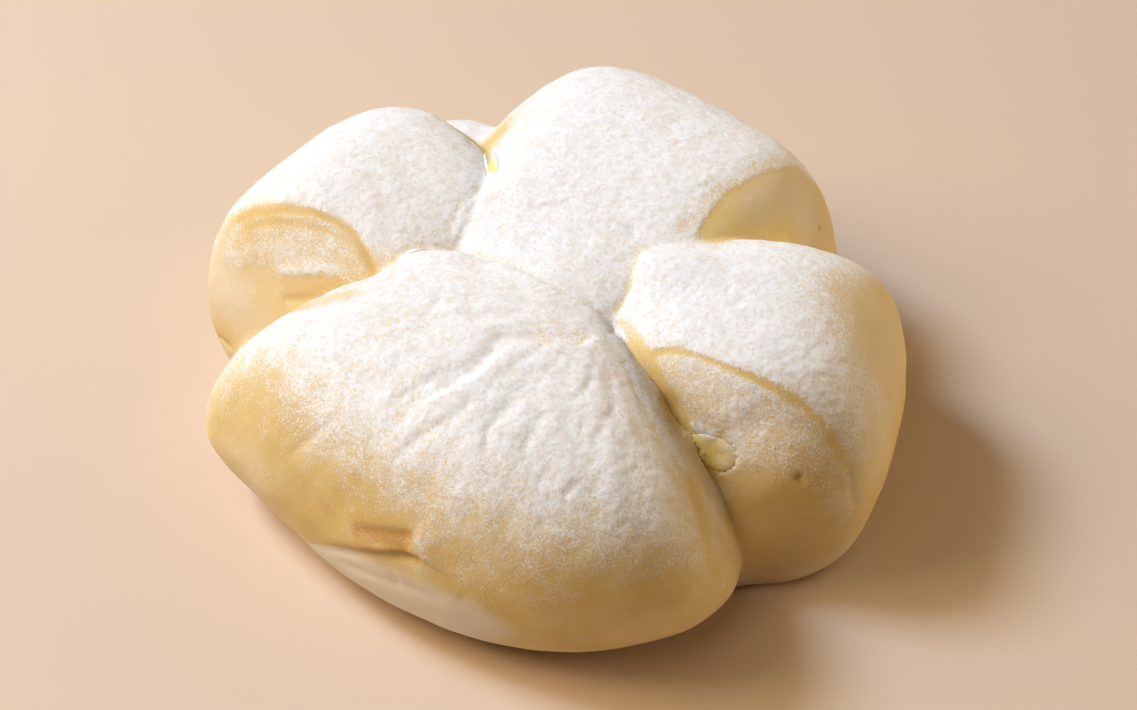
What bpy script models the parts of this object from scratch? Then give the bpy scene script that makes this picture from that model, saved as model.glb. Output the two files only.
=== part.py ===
"""Soft milk bread: a square of dough with its four corners folded to the middle over custard.

Blender units are metres, +Z is up. The bread lies on its flat underside at z = 0, and the origin
is under the middle of its box. The large front fold faces -Y.
"""

from math import asin, atan2, cos, degrees, radians, sin, sqrt
from typing import NamedTuple

import bpy
from mathutils import Euler, Vector

MM = 0.001


class Wall(NamedTuple):
    """The soft end face of a fold: part of a large ball that cuts the fold's dome."""

    heading: float  # degrees round from +X, the way the face looks
    lean: float  # degrees that it looks upwards
    distance: float  # mm from the fold's middle
    bulge: float  # mm, radius of the ball


class Fold(NamedTuple):
    """A corner of the dough folded to the middle: a dome on a lifted axis, cut by two walls."""

    middle: tuple  # mm
    heading: float  # degrees round from +X, the way the fold points outwards
    rise: float  # degrees that its outward end is lifted
    outward: float  # mm, half the dome's size on each side of its middle
    inward: float
    left: float
    right: float
    up: float
    down: float  # the flat underside cuts the dome before it gets there
    fullness: float  # 2 is an ellipsoid, more is boxier
    walls: tuple


class Swelling(NamedTuple):
    """A rounded lump, of dough or custard, whose long side is turned round Z."""

    centre: tuple  # mm
    half: tuple  # mm from the centre: along, across, up and down
    turn: float  # degrees


# The folds, as the view from the front shows them ----------------------------------------------
FOLDS = {
    "back_left": Fold(
        middle=(-29.5, 22, 16), heading=138, rise=8,
        outward=19, inward=36.5, left=40.5, right=31, up=23, down=24, fullness=2.3,
        walls=(Wall(239, 13, 21.5, 58), Wall(54, 10, 24.3, 50)),
    ),
    "back_right": Fold(
        middle=(6, 23.5, 16), heading=54, rise=6,
        outward=30, inward=41, left=25, right=53, up=23.5, down=24, fullness=2.75,
        walls=(Wall(318, 19, 34, 90), Wall(160, 45, 24.5, 900)),
    ),
    "right": Fold(
        middle=(30, -7, 16), heading=-14, rise=5,
        outward=24, inward=29.5, left=28.5, right=42, up=22.5, down=24, fullness=2.35,
        walls=(Wall(241, 2, 21, 55), Wall(82, 27, 21.5, 900)),
    ),
    "front": Fold(
        middle=(-8.5, -17.5, 15.5), heading=237, rise=12.5,
        outward=29.5, inward=27, left=45.5, right=53.5, up=24, down=20.5, fullness=2.38,
        walls=(Wall(17, 33, 26.3, 200), Wall(108, 23, 28.5, 115)),
    ),
}
RIDGE_SHARPNESS = 11  # how crisply a fold's top turns over into its walls

# The inner tips of two folds, which lie over their neighbours -----------------------------------
TIPS = {
    "right": Swelling((18.6, -1.7, 27.8), (11, 7.5, 10.5, 10), 160),
    "front": Swelling((-18, 0.6, 27.1), (9, 6, 9, 10), 0),
}

# The dough under the folds, which swells out low between and below them -------------------------
BASE = {
    "hub": Swelling((0, 0, 8), (36, 32, 16, 16), 0),
    "middle": Swelling((0, 0, 18), (23, 15, 18, 16), -38),
    "heel": Swelling((-12.3, -26.2, 10), (35.5, 20.5, 21, 13.2), -33),
    "back_gap": Swelling((-14.4, 37, 10), (17, 15, 17.4, 16.5), 110),
    "front_right_gap": Swelling((22, -24, 4), (12, 14, 13, 13), -60),
    "right_foot": Swelling((31.3, -21.8, 6), (15.3, 13, 11, 13), -12),
    "right_belly": Swelling((35.2, -26.6, 14.8), (10.8, 6.6, 15.6, 15), -12),
    "right_back_gap": Swelling((33, 15, 8), (15, 14, 17, 17), 20),
    "left_gap": Swelling((-35.5, 3.5, 5), (16, 13.5, 11, 11), 175),
}

# Custard: a core under the folds, with an arm that shows at each of three gaps ------------------
CORE = Swelling((0.5, 3.5, 17), (19, 17, 7, 7), 0)
ARM_ENDS = {  # the round end of each arm
    "front_right_gap": Swelling((25.2, -24.6, 22.7), (5.3, 4.3, 3.5, 3.5), -20),
    "back_gap": Swelling((-8.9, 22.5, 31.5), (1.8, 7, 4.6, 6), 13),
    "right_back_gap": Swelling((31.5, 12, 28.5), (6, 5, 4, 5), 40),
}
LINK_HALF = 3.5  # mm, half the thickness of the arms between the core and their ends
CUSTARD_CLEARANCE = 0.3  # mm between the custard and the dough round it

FOLD_SEGMENTS = 60  # about 3 mm between points
BASE_SEGMENTS = 28
CUSTARD_SEGMENTS = 16
BREAD_SPAN = 200  # mm, wider than the bread, for the block that cuts its underside
SHARP_ANGLE = 40  # degrees, above which an edge is shaded sharp


def unit_vector(heading, lean):
    """The direction at these two angles, in degrees."""
    turn, tilt = radians(heading), radians(lean)
    return Vector((cos(turn) * cos(tilt), sin(turn) * cos(tilt), sin(tilt)))


def reach_of_dome(fold, direction):
    """How far a ray from the fold's middle runs inside the dome, in mm."""
    outward = unit_vector(fold.heading, fold.rise)
    leftward = unit_vector(fold.heading + 90, 0)
    upward = outward.cross(leftward)
    total = 0
    for axis, ahead, behind in (
        (outward, fold.outward, fold.inward),
        (leftward, fold.left, fold.right),
        (upward, fold.up, fold.down),
    ):
        along = direction.dot(axis)
        half = ahead if along > 0 else behind
        total += abs(along / half) ** fold.fullness
    return total ** (-1 / fold.fullness)


def reach_of_wall(wall, direction):
    """How far the same ray runs before it leaves the wall's ball, in mm."""
    ball_centre = wall.distance - wall.bulge
    along = ball_centre * direction.dot(unit_vector(wall.heading, wall.lean))
    return along + sqrt(along**2 + wall.bulge**2 - ball_centre**2)


def reach_of_fold(fold, direction):
    """The shortest of dome and walls, with the ridge between them rounded over."""
    reaches = [reach_of_dome(fold, direction)]
    reaches += [reach_of_wall(wall, direction) for wall in fold.walls]
    total = sum(reach**-RIDGE_SHARPNESS for reach in reaches)
    return total ** (-1 / RIDGE_SHARPNESS)


def round_primitive(name, segments):
    bpy.ops.mesh.primitive_uv_sphere_add(segments=segments, ring_count=segments // 2, radius=1)
    obj = bpy.context.object
    obj.name = name
    return obj


def new_fold(name, fold):
    """One fold: a round primitive whose points are moved out to the fold's surface."""
    obj = round_primitive(f"fold_{name}", FOLD_SEGMENTS)
    middle = Vector(fold.middle)
    for vertex in obj.data.vertices:
        direction = vertex.co.normalized()
        vertex.co = (middle + direction * reach_of_fold(fold, direction)) * MM
    return obj


def new_swelling(name, swelling, grow=0.0, lean=0.0, segments=BASE_SEGMENTS):
    """A round primitive sized and turned as the swelling says, larger all round by grow (mm)."""
    obj = round_primitive(name, segments)
    turned = Euler((0, radians(-lean), radians(swelling.turn))).to_matrix()
    middle = Vector(swelling.centre)
    along, across, up, down = (side + grow for side in swelling.half)
    for vertex in obj.data.vertices:
        x, y, z = vertex.co
        sized = Vector((x * along, y * across, z * (up if z > 0 else down)))
        vertex.co = (turned @ sized + middle) * MM
    return obj


def custard_pieces(grow):
    """The custard's core and arms, each larger all round by grow (mm)."""
    pieces = [new_swelling("custard_core", CORE, grow, segments=CUSTARD_SEGMENTS)]
    for name, end in ARM_ENDS.items():
        run = Vector(end.centre) - Vector(CORE.centre)
        turn, lean = degrees(atan2(run.y, run.x)), degrees(asin(run.z / run.length))
        half = (run.length / 2 + LINK_HALF, LINK_HALF, LINK_HALF, LINK_HALF)
        link = Swelling(Vector(CORE.centre) + run / 2, half, turn)
        pieces.append(new_swelling(f"custard_link_{name}", link, grow, lean, CUSTARD_SEGMENTS))
        pieces.append(new_swelling(f"custard_end_{name}", end, grow, segments=CUSTARD_SEGMENTS))
    return pieces


def joined(name, pieces):
    """One solid from overlapping ones: a Boolean union on a collection, applied."""
    others = bpy.data.collections.new(f"{name}_pieces")
    for piece in pieces[1:]:
        others.objects.link(piece)
    union = pieces[0].modifiers.new("union", "BOOLEAN")
    union.operation = "UNION"
    union.operand_type = "COLLECTION"
    union.collection = others
    solid = with_modifiers_applied(pieces[0])
    for piece in pieces[1:]:
        bpy.data.objects.remove(piece)
    bpy.data.collections.remove(others)
    solid.name = name
    solid.data.name = name
    return solid


def with_modifiers_applied(obj):
    """The same object with its evaluated mesh, and no modifiers left."""
    evaluated = obj.evaluated_get(bpy.context.evaluated_depsgraph_get())
    mesh = bpy.data.meshes.new_from_object(evaluated)
    obj.modifiers.clear()
    obj.data = mesh
    return obj


def cut_away(obj, cutter):
    """Take the cutter's space out of the object, and remove the cutter."""
    cut = obj.modifiers.new("cut", "BOOLEAN")
    cut.operation = "DIFFERENCE"
    cut.object = cutter
    with_modifiers_applied(obj)
    bpy.data.objects.remove(cutter)


def underside_block():
    """A block below z = 0, which leaves the bread its flat underside."""
    bpy.ops.mesh.primitive_cube_add(size=BREAD_SPAN * MM, location=(0, 0, -BREAD_SPAN / 2 * MM))
    return bpy.context.object


def material(name, colour, roughness):
    new = bpy.data.materials.new(name)
    new.use_nodes = True
    shader = new.node_tree.nodes["Principled BSDF"]
    shader.inputs["Base Color"].default_value = (*colour, 1)
    shader.inputs["Roughness"].default_value = roughness
    shader.inputs["Metallic"].default_value = 0
    return new


def finish(obj, finish_material, collection):
    """Shade smooth with the ridges kept, and put the object in the bread's collection."""
    obj.data.materials.clear()
    obj.data.materials.append(finish_material)
    obj.data.shade_smooth()
    obj.data.set_sharp_from_angle(angle=radians(SHARP_ANGLE))
    for old in list(obj.users_collection):
        old.objects.unlink(obj)
    collection.objects.link(obj)


def build_dough():
    pieces = [new_fold(name, fold) for name, fold in FOLDS.items()]
    pieces += [new_swelling(f"tip_{name}", swelling) for name, swelling in TIPS.items()]
    pieces += [new_swelling(f"base_{name}", swelling) for name, swelling in BASE.items()]
    dough = joined("bread_dough", pieces)
    cut_away(dough, underside_block())
    cut_away(dough, joined("custard_space", custard_pieces(CUSTARD_CLEARANCE)))
    return dough


def build_custard():
    return joined("custard_filling", custard_pieces(0))


def main():
    for old in list(bpy.data.objects):
        bpy.data.objects.remove(old)
    bread = bpy.data.collections.new("milk_bread")
    bpy.context.scene.collection.children.link(bread)
    finish(build_dough(), material("bread_crust", (0.87, 0.74, 0.5), 0.8), bread)
    finish(build_custard(), material("custard", (0.86, 0.68, 0.24), 0.45), bread)


main()
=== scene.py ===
"""The looks of a soft milk bread: four folds of dough, custard in the gaps, white powder on top.

Every length is in millimetres until a mesh is made, and +Z is up. The large front fold faces -Y.
"""

from math import cos, radians, sin
from typing import NamedTuple

import bmesh
import bpy
import numpy as np
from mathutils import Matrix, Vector
from mathutils.bvhtree import BVHTree


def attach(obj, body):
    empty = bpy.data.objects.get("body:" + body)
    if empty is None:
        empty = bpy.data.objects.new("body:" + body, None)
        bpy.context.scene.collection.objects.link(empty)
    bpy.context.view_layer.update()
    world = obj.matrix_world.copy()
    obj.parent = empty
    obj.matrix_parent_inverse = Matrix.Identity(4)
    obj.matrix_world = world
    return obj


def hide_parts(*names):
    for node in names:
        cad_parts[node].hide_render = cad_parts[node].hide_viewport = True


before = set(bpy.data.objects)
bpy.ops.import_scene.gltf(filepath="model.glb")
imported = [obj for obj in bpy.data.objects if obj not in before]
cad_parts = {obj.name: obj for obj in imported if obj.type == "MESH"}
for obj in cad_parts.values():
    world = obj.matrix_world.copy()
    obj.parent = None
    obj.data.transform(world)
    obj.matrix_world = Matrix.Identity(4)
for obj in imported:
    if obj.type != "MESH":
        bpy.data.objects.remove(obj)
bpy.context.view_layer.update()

MM = 0.001
TINY = 1e-9

# Camera ------------
PHOTO_SIZE = (1137, 710)  # pixels
CAMERA_LENS = 100.0  # mm
CAMERA_SENSOR = 36.0  # mm
CAMERA_AIM = Vector((2.6, 1.5, 15))
CAMERA_DISTANCE = 496.0
CAMERA_ELEVATION = 45.0  # degrees


# The form: the same folds and swellings as the CAD solids, in millimetres ------------
class Wall(NamedTuple):
    """The soft end face of a fold: part of a large ball that cuts the fold's dome."""

    heading: float  # degrees round from +X, the way the face looks
    lean: float  # degrees that it looks upwards
    distance: float  # from the fold's middle
    bulge: float  # radius of the ball


class Fold(NamedTuple):
    """A corner of the dough folded to the middle: a dome on a lifted axis, cut by two walls."""

    middle: tuple
    heading: float  # degrees round from +X, the way the fold points outwards
    rise: float  # degrees that its outward end is lifted
    outward: float  # half the dome's size on each side of its middle
    inward: float
    left: float
    right: float
    up: float
    down: float
    fullness: float  # 2 is an ellipsoid, more is boxier
    walls: tuple


class Swelling(NamedTuple):
    """A rounded lump, of dough or custard, whose long side is turned round Z."""

    centre: tuple
    half: tuple  # from the centre: along, across, up and down
    turn: float  # degrees


FOLDS = {
    "back_left": Fold(
        middle=(-29.5, 22, 16), heading=138, rise=8,
        outward=19, inward=36.5, left=40.5, right=31, up=23, down=24, fullness=2.3,
        walls=(Wall(239, 13, 21.5, 58), Wall(54, 10, 24.3, 50)),
    ),
    "back_right": Fold(
        middle=(6, 23.5, 16), heading=54, rise=6,
        outward=30, inward=41, left=25, right=53, up=23.5, down=24, fullness=2.75,
        walls=(Wall(318, 19, 34, 90), Wall(160, 45, 24.5, 900)),
    ),
    "right": Fold(
        middle=(30, -7, 16), heading=-14, rise=5,
        outward=24, inward=29.5, left=28.5, right=42, up=22.5, down=24, fullness=2.35,
        walls=(Wall(241, 2, 21, 55), Wall(82, 27, 21.5, 900)),
    ),
    "front": Fold(
        middle=(-8.5, -17.5, 15.5), heading=237, rise=12.5,
        outward=29.5, inward=27, left=45.5, right=53.5, up=24, down=20.5, fullness=2.38,
        walls=(Wall(17, 33, 26.3, 200), Wall(108, 23, 28.5, 115)),
    ),
}
RIDGE_SHARPNESS = 11  # how crisply a fold's top turns over into its walls

TIPS = {  # the inner tips of two folds, which lie over their neighbours
    "right": Swelling((18.6, -1.7, 27.8), (11, 7.5, 10.5, 10), 160),
    "front": Swelling((-18, 0.6, 27.1), (9, 6, 9, 10), 0),
}
HEEL = Swelling((-12.3, -26.2, 10), (35.5, 20.5, 21, 13.2), -33)
MIDDLE = Swelling((0, 0, 18), (23, 15, 18, 16), -38)  # the tips of the folds, pressed together
LOW_DOUGH = {
    "hub": Swelling((0, 0, 8), (36, 32, 16, 16), 0),
    "back_gap": Swelling((-14.4, 37, 10), (17, 15, 17.4, 16.5), 110),
    "front_right_gap": Swelling((22, -24, 4), (12, 14, 13, 13), -60),
    "right_foot": Swelling((31.3, -21.8, 6), (15.3, 13, 11, 13), -12),
    "right_belly": Swelling((35.2, -26.6, 14.8), (10.8, 6.6, 15.6, 15), -12),
    "right_back_gap": Swelling((33, 15, 8), (15, 14, 17, 17), 20),
    "left_gap": Swelling((-35.5, 3.5, 5), (16, 13.5, 11, 11), 175),
}
CORE = Swelling((0.5, 3.5, 17), (19, 17, 7, 7), 0)
ARM_ENDS = {  # the round end of each arm of custard
    "front_right_gap": Swelling((25.2, -24.6, 22.7), (5.3, 4.3, 3.5, 3.5), -20),
    "back_gap": Swelling((-8.9, 22.5, 31.5), (1.8, 7, 4.6, 6), 13),
    "right_back_gap": Swelling((31.5, 12, 28.5), (6, 5, 4, 5), 40),
}
LINK_HALF = 3.5  # half the thickness of the arms between the core and their ends

FOLD_BLEND = 0.7  # how far two folds melt together where they meet
TIP_BLEND = 3.0
HEEL_BLEND = 3.5
MIDDLE_BLEND = 2.0
LOW_BLEND = 3.0  # the same, where the low dough meets the folds
UNDERSIDE_BLEND = 2.0  # the round of the edge that the bread rests on
CUSTARD_BLEND = 0.3
CUSTARD_SPREAD = 0.5  # how far inside the custard's edge the dough's gap opens
CUSTARD_OVERLAP = 0.55  # how far the custard's rim lies over the dough
CUSTARD_PROUD = 0.32  # how far its middle stands out of the gap
CUSTARD_ROUND = 1.1  # the round of its rim
CUSTARD_CLEARANCE = 0.3  # between the CAD's custard and dough
CUSTARD_RIM = (-0.5, 0.9)  # in from its edge, where its colour goes over into the dough's
GAP_REACH = 3.0  # how far from the custard the dough is drawn in

DOUGH_VOXEL = 0.44
CUSTARD_VOXEL = 0.4
WELD_DISTANCE = 0.01
HIDDEN_KEPT = 0.04  # share of the faces that stays on the flat underside and round the custard
HIDDEN_DEPTH = 2.0  # below the surface, and how near the custard, for faces to count as hidden
UNDERSIDE_HEIGHT = 0.1  # below this the points belong to the flat underside

SLOPE_STEP = 0.05  # between the points that a slope is measured from
LONGEST_MOVE = 0.6  # of a point in one round
LEAST_STEEPNESS = 0.25  # so that no point is thrown far where a field is flat
LEAST_SLOPE = 0.2
DRAWING_ROUNDS = 6
CUSTARD_ROUNDS = 8


def unit(heading, lean):
    """The direction at these two angles, in degrees."""
    turn, tilt = radians(heading), radians(lean)
    return np.array((cos(turn) * cos(tilt), sin(turn) * cos(tilt), sin(tilt)))


def lengths(vectors):
    """The length of each vector, in a column."""
    return np.linalg.norm(vectors, axis=1)[:, None]


def dome_reach(fold, directions):
    """How far a ray from the fold's middle runs inside the dome."""
    outward = unit(fold.heading, fold.rise)
    leftward = unit(fold.heading + 90, 0)
    upward = np.cross(outward, leftward)
    total = 0
    for axis, ahead, behind in (
        (outward, fold.outward, fold.inward),
        (leftward, fold.left, fold.right),
        (upward, fold.up, fold.down),
    ):
        along = directions @ axis
        half = np.where(along > 0, ahead, behind)
        total = total + np.abs(along / half) ** fold.fullness
    return total ** (-1 / fold.fullness)


def wall_reach(wall, directions):
    """How far the same ray runs before it leaves the wall's ball."""
    ball_centre = wall.distance - wall.bulge
    along = ball_centre * (directions @ unit(wall.heading, wall.lean))
    return along + np.sqrt(along**2 + wall.bulge**2 - ball_centre**2)


def fold_reaches(fold, points):
    """Distance from the fold's middle, then the reach of its dome and of each wall."""
    away = points - np.array(fold.middle)
    distance = np.linalg.norm(away, axis=1) + TINY
    directions = away / distance[:, None]
    walls = [wall_reach(wall, directions) for wall in fold.walls]
    return distance, [dome_reach(fold, directions), *walls]


def fold_field(fold, points):
    """How far outside the fold each point is; negative inside."""
    distance, reaches = fold_reaches(fold, points)
    total = sum(reach**-RIDGE_SHARPNESS for reach in reaches)
    return distance - total ** (-1 / RIDGE_SHARPNESS)


def swelling_field(swelling, points, lean=0.0):
    """How far outside the swelling each point is; negative inside."""
    along = unit(swelling.turn, lean)
    across = unit(swelling.turn + 90, 0)
    upward = np.cross(along, across)
    away = points - np.array(swelling.centre)
    length, width, up, down = swelling.half
    rise = away @ upward
    scaled = (away @ along / length) ** 2 + (away @ across / width) ** 2
    scaled = np.sqrt(scaled + (rise / np.where(rise > 0, up, down)) ** 2) + TINY
    return np.linalg.norm(away, axis=1) * (1 - 1 / scaled)


def smooth_min(a, b, blend):
    near = np.maximum(blend - np.abs(a - b), 0) / blend
    return np.minimum(a, b) - near**2 * blend / 4


def smooth_max(a, b, blend):
    return -smooth_min(-a, -b, blend)


def custard_field(points):
    """The custard: a core under the folds, with an arm to each gap that it shows in."""
    field = swelling_field(CORE, points)
    for end in ARM_ENDS.values():
        run = np.array(end.centre) - np.array(CORE.centre)
        length = float(np.linalg.norm(run))
        turn = float(np.degrees(np.arctan2(run[1], run[0])))
        lean = float(np.degrees(np.arcsin(run[2] / length)))
        half = (length / 2 + LINK_HALF, LINK_HALF, LINK_HALF, LINK_HALF)
        link = Swelling(tuple(np.array(CORE.centre) + run / 2), half, turn)
        field = smooth_min(field, swelling_field(link, points, lean), CUSTARD_BLEND)
        field = smooth_min(field, swelling_field(end, points), CUSTARD_BLEND)
    return field


def whole_field(points):
    """Folds and heel, with the low dough between them, before room is made for the custard.

    The low dough melts into the three folds behind, and the front fold lies over it crisply.
    """
    folds = {name: fold_field(fold, points) for name, fold in FOLDS.items()}
    for name, tip in TIPS.items():
        folds[name] = smooth_min(folds[name], swelling_field(tip, points), TIP_BLEND)
    field = smooth_min(swelling_field(HEEL, points), folds.pop("front"), HEEL_BLEND)
    field = smooth_min(field, swelling_field(MIDDLE, points), MIDDLE_BLEND)
    for fold in folds.values():
        field = smooth_min(field, fold, FOLD_BLEND)
    low = smooth_min(folds["right"], folds["back_right"], FOLD_BLEND)
    low = smooth_min(low, folds["back_left"], FOLD_BLEND)
    for swelling in LOW_DOUGH.values():
        low = smooth_min(low, swelling_field(swelling, points), LOW_BLEND)
    field = smooth_min(field, low, FOLD_BLEND)
    return smooth_max(field, -points[:, 2], UNDERSIDE_BLEND)


def dough_field(points):
    gap = custard_field(points) + CUSTARD_SPREAD
    return smooth_max(whole_field(points), -gap, CUSTARD_BLEND)


def shown_custard_field(points):
    """The custard, pressed flat where it shows: it stands only a little out of the dough."""
    spread = custard_field(points) - CUSTARD_OVERLAP
    return smooth_max(spread, whole_field(points) - CUSTARD_PROUD, CUSTARD_ROUND)


def slope(field, points):
    """The field's gradient at each point."""
    columns = []
    for axis in np.eye(3) * SLOPE_STEP:
        columns.append((field(points + axis) - field(points - axis)) / (2 * SLOPE_STEP))
    return np.stack(columns, axis=1)


def normals_of(field, points):
    gradient = slope(field, points)
    return gradient / lengths(gradient)


def settled(field, points, rounds=4):
    """The points moved onto the field's surface."""
    for _ in range(rounds):
        gradient = slope(field, points)
        steepness = np.maximum((gradient**2).sum(1), LEAST_STEEPNESS)
        move = np.clip(field(points) / steepness, -LONGEST_MOVE, LONGEST_MOVE)
        points = points - gradient * move[:, None]
    return points


def drawn_in(points):
    """The dough round the custard's gaps, drawn in along its surface under the custard's rim."""
    away = custard_field(points)
    share = np.clip((GAP_REACH - away) / (GAP_REACH - CUSTARD_CLEARANCE), 0, 1)
    target = away - share * (CUSTARD_SPREAD + CUSTARD_CLEARANCE)
    near = np.flatnonzero(share > 0)
    moved = points[near]
    for _ in range(DRAWING_ROUNDS):
        up = normals_of(whole_field, moved)
        outward = slope(custard_field, moved)
        outward -= up * (outward * up).sum(1)[:, None]
        steepness = np.maximum(np.linalg.norm(outward, axis=1), LEAST_SLOPE)
        move = (custard_field(moved) - target[near]) / steepness
        move = np.clip(move, -LONGEST_MOVE, LONGEST_MOVE)
        moved = moved - outward / steepness[:, None] * move[:, None]
    points = points.copy()
    points[near] = moved
    return points


# Meshes ------------
def points_of(mesh):
    flat = np.empty(len(mesh.vertices) * 3, np.float32)
    mesh.vertices.foreach_get("co", flat)
    return flat.reshape(-1, 3).astype(float) / MM


def set_points(mesh, points):
    mesh.vertices.foreach_set("co", (points * MM).astype(np.float32).ravel())
    mesh.update()


def store(mesh, name, values):
    attribute = mesh.attributes.new(name, "FLOAT", "POINT")
    attribute.data.foreach_set("value", values.astype(np.float32))


def new_object(name, data):
    obj = bpy.data.objects.new(name, data)
    bpy.context.scene.collection.objects.link(obj)
    return obj


def apply_modifiers(obj):
    evaluated = obj.evaluated_get(bpy.context.evaluated_depsgraph_get())
    mesh = bpy.data.meshes.new_from_object(evaluated)
    obj.modifiers.clear()
    obj.data = mesh
    mesh.shade_smooth()


def fine_copy(node, name, voxel):
    """An even, dense mesh round the CAD node's surface."""
    obj = new_object(name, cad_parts[node].data.copy())
    shell = bmesh.new()
    shell.from_mesh(obj.data)
    bmesh.ops.remove_doubles(shell, verts=shell.verts, dist=WELD_DISTANCE * MM)
    shell.to_mesh(obj.data)
    shell.free()
    remesh = obj.modifiers.new("remesh", "REMESH")
    remesh.mode = "VOXEL"
    remesh.voxel_size = voxel * MM
    apply_modifiers(obj)
    obj.data.name = name
    obj.data.materials.clear()
    return obj


def thin_out(obj, hidden):
    """Take faces away where hidden is 1, so that the rest can be fine."""
    group = obj.vertex_groups.new(name="hidden")
    group.add(np.flatnonzero(hidden).tolist(), 1.0, "REPLACE")
    decimate = obj.modifiers.new("thin", "DECIMATE")
    decimate.ratio = 1 - (1 - HIDDEN_KEPT) * hidden.mean()
    decimate.vertex_group = "hidden"
    apply_modifiers(obj)
    obj.vertex_groups.clear()


# Places and marks ------------
# A mark is placed where the photograph shows it, by pixels of its 1137 x 710 frame. Each pixel is
# cast onto the bread, and everything after that is measured in millimetres along the surface.
class Stroke(NamedTuple):
    """A groove or ridge, or a band of powder or colour, that fades out at both ends."""

    pixels: tuple
    width: float  # half width, mm
    height: float  # mm, negative for a groove; or the change in powder or colour


class Step(NamedTuple):
    """An edge through these pixels, with the dough raised on the left of the way it runs."""

    pixels: tuple
    height: float  # mm
    run: float  # mm that the raised side reaches back
    softness: float  # mm over which it rises
    foot_bare_and_shade: float  # how much powder the foot of the step lacks, partly painted shade of its hollow
    fading: float = 0.15  # share of its length that it fades over at each end


class Spot(NamedTuple):
    """A round patch about this pixel."""

    pixel: tuple
    radius: float  # mm
    amount: float  # mm deep, or the change in powder or colour


STEPS = {  # first where one folded corner lies over the next, then the creases
    "front_over_back": Step(
        ((622, 328), (608, 324), (581, 306), (546, 289), (511, 268), (478, 259), (447, 252),
         (424, 251), (404, 256), (400, 270), (396, 284)), 0.5, 3, 0.4, 0.4),
    "front_over_right": Step(
        ((697, 462), (686, 440), (671, 409), (656, 381), (641, 354), (625, 331), (612, 326)),
        0.5, 2.6, 0.45, 0.55),
    "back_right_over_back_left": Step(
        ((497, 190), (468, 204), (455, 228), (452, 240)), 0.35, 4, 0.7, 0.25),
    "right_over_back_right": Step(
        ((656, 249), (642, 256), (636, 274), (632, 294), (619, 320)), 0.4, 3, 0.45, 0.4),
    "long_crease": Step(
        ((600, 336), (590, 341), (575, 347), (553, 343), (531, 344), (505, 347), (493, 362),
         (464, 383), (443, 394), (405, 412)), 0.65, 5, 0.4, 0.35),
    "back_right_crease": Step(((577, 198), (537, 204), (499, 189)), -0.3, 4, 0.6, 0.1),
    "heel_crease": Step(
        ((286, 538), (341, 548), (376, 550), (412, 554), (432, 566), (458, 584)),
        0.9, 5, 0.35, 0, fading=0.45),
    "front_dent_side": Step(
        ((411, 556), (413, 541), (421, 530), (427, 520)), -0.2, 3.8, 0.6, 0, fading=0.4),
}
GROOVES = {  # and low ridges, with the dents last
    "under_long_crease": Stroke(
        ((592, 334), (577, 339), (548, 335), (503, 337), (487, 355), (458, 377), (430, 392)), 1.5, -0.75),
    "wrinkle_a": Stroke(((523, 394), (496, 418), (487, 436), (483, 466)), 0.7, -0.24),
    "wrinkle_b": Stroke(((484, 394), (449, 421), (423, 435), (386, 468)), 0.8, -0.21),
    "wrinkle_c": Stroke(((549, 410), (531, 435), (521, 456)), 0.7, -0.21),
    "wrinkle_d": Stroke(((580, 480), (563, 499)), 0.6, -0.19),
    "wrinkle_e": Stroke(((455, 362), (432, 378), (405, 394), (380, 413)), 0.8, -0.22),
    "wrinkle_f": Stroke(((446, 285), (434, 306), (415, 327)), 0.7, -0.22),
    "wrinkle_g": Stroke(((600, 372), (575, 402), (563, 440)), 0.7, -0.19),
    "wrinkle_h": Stroke(((340, 416), (312, 438), (287, 457)), 0.8, -0.15),
    "wrinkle_i": Stroke(((620, 400), (604, 424), (590, 452)), 0.7, -0.19),
    "back_right_dent": Stroke(((628, 224), (633, 231), (634, 239)), 0.7, -0.28),
    "right_dent": Stroke(((745, 292), (740, 302), (733, 309)), 0.8, -0.35),
    "right_dent_small": Stroke(((733, 283), (724, 297)), 0.6, -0.2),
    "left_wall_furrow": Stroke(((280, 300), (300, 300), (330, 296)), 0.9, -0.3),
    "left_wall_low_crease": Stroke(((217, 336), (224, 342), (232, 349)), 0.7, -0.35),
    "front_dent_furrow": Stroke(((352, 529), (380, 532), (398, 535), (414, 539)), 0.9, -0.3),
    "front_dent_low_furrow": Stroke(((365, 538), (385, 542), (400, 546), (413, 549)), 0.9, -0.3),
    "front_right_lip": Stroke(
        ((630, 356), (650, 388), (668, 414), (686, 444), (700, 470), (714, 492), (727, 515),
         (734, 545)), 3.0, 0.65),
    "front_right_shoulder": Stroke(((608, 330), (625, 352), (642, 380), (658, 408), (674, 438)), 2.4, 0.6),
    "right_seam": Stroke(((847, 456), (852, 492), (856, 510)), 0.7, -0.25),
    "right_pit_line": Stroke(((794, 474), (799, 480), (805, 486)), 0.5, -0.35),
    "heel_crease_foot": Stroke(((292, 543), (341, 551), (376, 553), (412, 557), (423, 562)), 0.9, -0.4),
    "heel_fold_a": Stroke(((330, 558), (370, 575), (415, 590), (450, 606)), 1.1, -0.2),
    "heel_fold_b": Stroke(((378, 560), (392, 572), (398, 588)), 0.8, -0.15),
    "heel_fold_c": Stroke(((455, 592), (480, 612), (512, 630)), 1.1, -0.2),
    "front_dent": Spot((402, 540), 2.6, -0.3),
    "right_wall_pit": Spot((799, 477), 0.5, -0.7),
    "right_wall_dip": Spot((673, 408), 2.2, -0.4),
    "back_right_wall_pit": Spot((819, 229), 0.4, -0.5),
    "back_gap_pit": Spot((470, 141), 0.6, -0.4),
}
LEFT_RIDGE = ((222, 236), (243, 217), (262, 211), (292, 209), (324, 216), (348, 229), (360, 245),
              (370, 264), (377, 283))
LEFT_WALL_TOP = ((253, 225), (273, 221), (310, 225), (332, 233), (351, 244))
LEFT_WALL_BAND = ((276, 284), (300, 284), (324, 284), (354, 289))
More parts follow.
